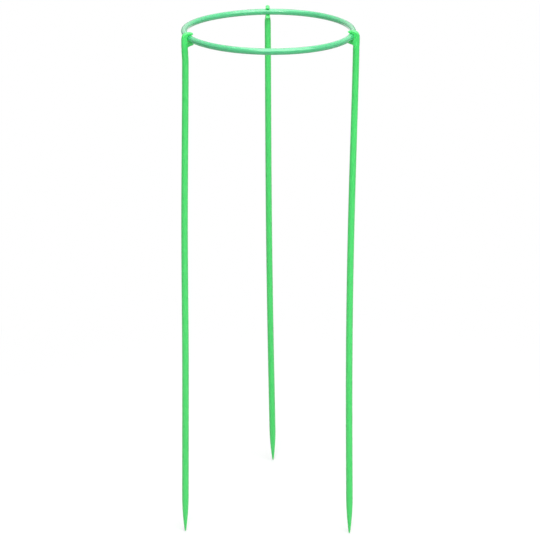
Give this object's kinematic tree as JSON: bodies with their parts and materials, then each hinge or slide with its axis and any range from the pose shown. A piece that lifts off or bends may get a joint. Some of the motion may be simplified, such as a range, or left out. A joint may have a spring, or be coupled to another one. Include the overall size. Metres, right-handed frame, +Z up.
{
  "type": "plant support ring stake",
  "caption": "Round-bar plastic plant support ring carried by long pointed stakes, each hung on the ring by an open snap clip on which it swings.",
  "frame": {"origin": "on the ring's axis, level with the stakes' points", "axes": "+Z up along the ring's axis, +X to the right stake's side, +Y to the rear stake"},
  "size_m": [0.1504, 0.1654, 0.4498],
  "materials": {
    "ring": "semi-gloss moulded polypropylene, mint green",
    "stake": "semi-gloss moulded polypropylene, bright green"
  },
  "bodies": {
    "ring": {"ring": "ring"},
    "stake_left": {"stake_left": "stake", "clip_left": "stake"},
    "stake_right": {"stake_right": "stake", "clip_right": "stake"},
    "stake_rear": {"stake_rear": "stake", "clip_rear": "stake"}
  },
  "joints": [
    {"name": "stake_left_swing", "type": "hinge", "parent": "ring", "child": "stake_left", "pos_m": [-0.06259, -0.02529, 0.44467], "axis": [-0.3747, 0.9271, -0.0052], "range_deg": [-9, 180]},
    {"name": "stake_right_swing", "type": "hinge", "parent": "ring", "child": "stake_right", "pos_m": [0.06472, -0.01917, 0.44467], "axis": [-0.2844, -0.9581, 0.0349], "range_deg": [-9, 180]},
    {"name": "stake_rear_swing", "type": "hinge", "parent": "ring", "child": "stake_rear", "pos_m": [-0.00118, 0.06749, 0.44467], "axis": [0.9998, 0.0168, 0.0122], "range_deg": [-9, 180]}
  ]
}
